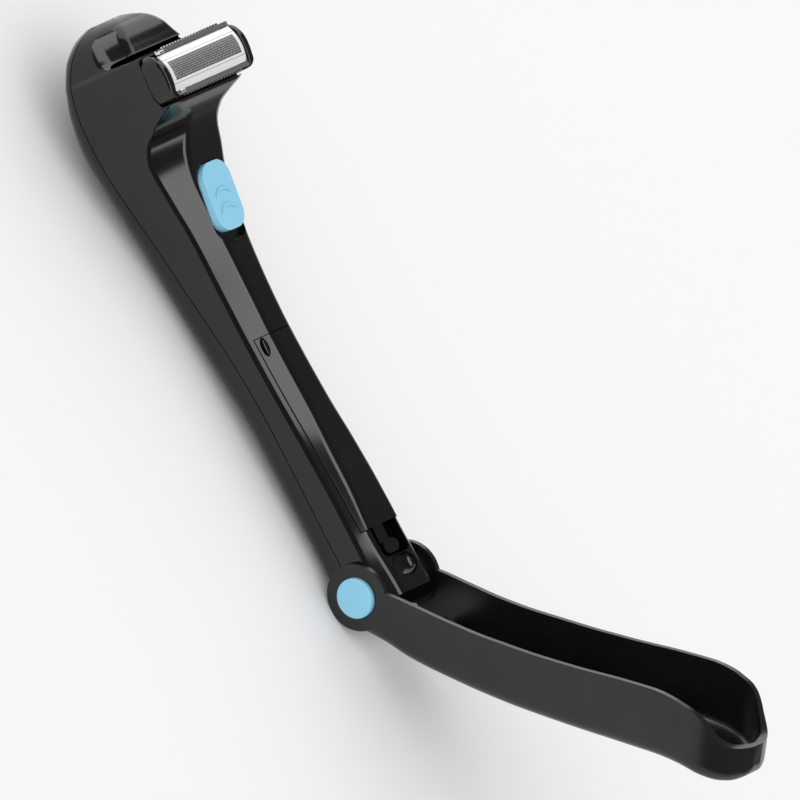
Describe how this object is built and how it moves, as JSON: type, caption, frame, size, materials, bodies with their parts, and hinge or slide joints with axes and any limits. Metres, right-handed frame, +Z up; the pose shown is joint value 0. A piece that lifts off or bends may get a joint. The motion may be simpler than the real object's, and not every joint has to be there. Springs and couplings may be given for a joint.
{
  "type": "electric back shaver",
  "caption": "Folding battery back shaver: hammer-shaped head with foil cassette, long body with slide switch and battery door, and an open channel handle on a push-button hinge.",
  "frame": {"origin": "middle of the bounding box's base, on the ground the part lies on", "axes": "+X from the shaver head towards the handle, +Y along the handle's hinge axis, +Z up, out of the foil side"},
  "size_m": [0.3244, 0.052, 0.1105],
  "materials": {
    "black_plastic": "deep black, satin to gloss",
    "blue_plastic": "sky blue, satin",
    "chrome": "bright, finely perforated foil and plain combs",
    "steel": "plain ground steel",
    "brass": "plain",
    "grey_plastic": "matt grey, inside",
    "cell_sleeve": "plain printed-free sleeve",
    "board": "circuit board green",
    "red_sleeve": "wire insulation"
  },
  "bodies": {
    "casing": {"rear_shell": "black_plastic", "front_shell": "black_plastic", "casing_screw_1": "steel", "casing_screw_2": "steel", "casing_screw_3": "steel", "battery_tray": "grey_plastic", "battery_cell": "cell_sleeve", "battery_spring": "steel", "spring_plate": "steel", "battery_contact": "brass", "motor_can": "steel", "motor_end_cap": "grey_plastic", "motor_bracket": "steel", "switch_board": "board", "wire_negative": "black_plastic", "wire_positive": "red_sleeve", "wire_motor": "red_sleeve", "hinge_core": "steel", "button_spring_left": "steel", "button_spring_right": "steel"},
    "door": {"battery_door": "black_plastic"},
    "switch": {"switch_slider": "blue_plastic"},
    "handle": {"handle_channel": "black_plastic"},
    "left_button": {"hinge_button_left": "blue_plastic"},
    "right_button": {"hinge_button_right": "blue_plastic"},
    "rotor": {"motor_shaft": "steel", "eccentric_cam": "brass"},
    "drive": {"drive_yoke": "grey_plastic", "cutter_block": "steel"},
    "cassette": {"cassette_frame": "black_plastic", "shaving_foil": "chrome", "upper_comb": "chrome", "lower_comb": "chrome", "foil_clip_upper": "chrome", "foil_clip_lower": "chrome"},
    "trimmers": {"upper_trimmer_blade": "steel", "lower_trimmer_blade": "steel"}
  },
  "joints": [
    {"name": "handle_fold", "type": "hinge", "parent": "casing", "child": "handle", "pos_m": [0.04552, 0, 0.0114], "axis": [0, 1, 0], "range_deg": [-126.87, 53.13]},
    {"name": "left_button_press", "type": "slide", "parent": "handle", "child": "left_button", "axis": [0, 1, 0], "range_m": [0, 0.0016], "stiffness_N_per_m": 1500, "springref_m": -0.001},
    {"name": "right_button_press", "type": "slide", "parent": "handle", "child": "right_button", "axis": [0, -1, 0], "range_m": [0, 0.0016], "stiffness_N_per_m": 1500, "springref_m": -0.001},
    {"name": "switch_slide", "type": "slide", "parent": "casing", "child": "switch", "axis": [0.9812, 0, -0.1929], "range_m": [0, 0.0037]},
    {"name": "battery_door_lift", "type": "hinge", "parent": "casing", "child": "door", "pos_m": [-0.04458, 0, 0.02636], "axis": [0, -1, 0], "range_deg": [0, 70]},
    {"name": "cassette_pull_off", "type": "slide", "parent": "casing", "child": "cassette", "axis": [0.1101, 0, 0.9939], "range_m": [0, 0.014]},
    {"name": "motor_spin", "type": "hinge", "parent": "casing", "child": "rotor", "pos_m": [-0.13587, 0, 0.03149], "axis": [0.1101, 0, 0.9939], "continuous": true},
    {"name": "cutter_slide", "type": "slide", "parent": "casing", "child": "drive", "axis": [0, 1, 0], "range_m": [-0.0009, 0.0009]},
    {"name": "trimmer_slide", "type": "slide", "parent": "cassette", "child": "trimmers", "axis": [0, 1, 0], "range_m": [-0.0009, 0.0009]}
  ],
  "couplings": [
    {"joint": "trimmer_slide", "follows": "cutter_slide", "ratio": 1}
  ]
}
